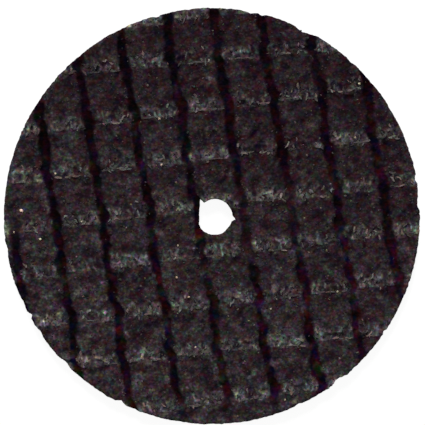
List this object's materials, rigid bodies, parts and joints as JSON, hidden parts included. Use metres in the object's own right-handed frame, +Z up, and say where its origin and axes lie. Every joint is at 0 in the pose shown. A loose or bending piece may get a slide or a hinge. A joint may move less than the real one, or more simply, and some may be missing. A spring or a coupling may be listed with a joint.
{
  "type": "cutting disc",
  "caption": "Thin round abrasive cutting disc, reinforced with glass cloth that shows as dark furrows and pale ridges, with a central bore torn at its edge and a chipped rim.",
  "frame": {"origin": "on the bore's axis, at the plane that the underside's ridges rest on", "axes": "+Z up along the bore's axis, +X along the ridges to within their slant, +Y towards the ridges' gentle sides"},
  "size_m": [0.0381, 0.038, 0.0011],
  "materials": {
    "abrasive": "matt and gritty, resin-bonded grain"
  },
  "bodies": {
    "root": {"cutting_disc": "abrasive"}
  },
  "joints": []
}
